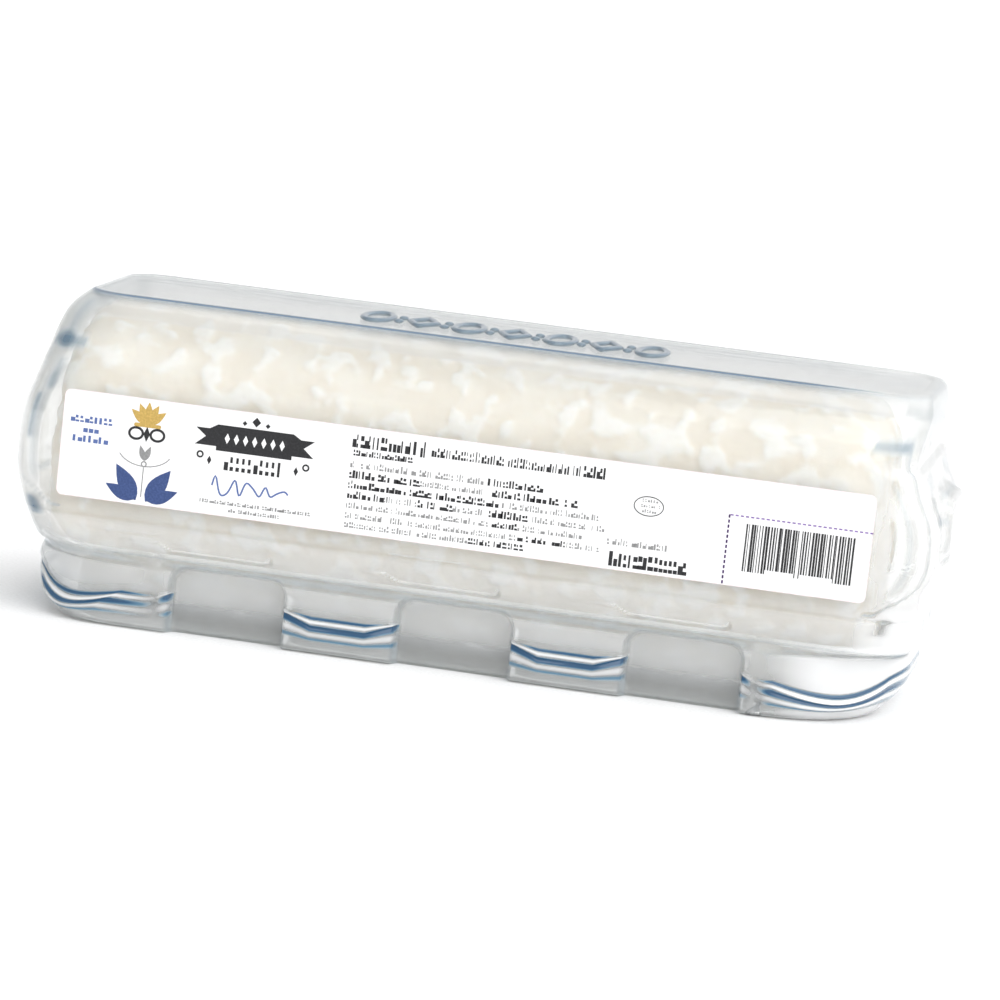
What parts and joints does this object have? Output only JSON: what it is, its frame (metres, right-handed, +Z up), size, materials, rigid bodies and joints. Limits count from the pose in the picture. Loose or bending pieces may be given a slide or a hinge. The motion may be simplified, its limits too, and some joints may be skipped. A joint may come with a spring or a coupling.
{
  "type": "boxed goat cheese log",
  "caption": "Ripened goat cheese log with a lumpy white rind, shut in a clear formed plastic box with a long paper label on its front.",
  "frame": {"origin": "on the table, under the middle of the box", "axes": "+X along the log, +Z up, the label faces -Y"},
  "size_m": [0.232, 0.081, 0.0806],
  "materials": {
    "cheese_rind": "chalky white mould rind",
    "clear_lid": "clear formed plastic sheet",
    "clear_tray": "clear formed plastic sheet, slightly blue",
    "label_paper": "smooth printed paper"
  },
  "bodies": {
    "root": {"cheese_log": "cheese_rind", "lid": "clear_lid", "base_tray": "clear_tray", "label": "label_paper"}
  },
  "joints": []
}
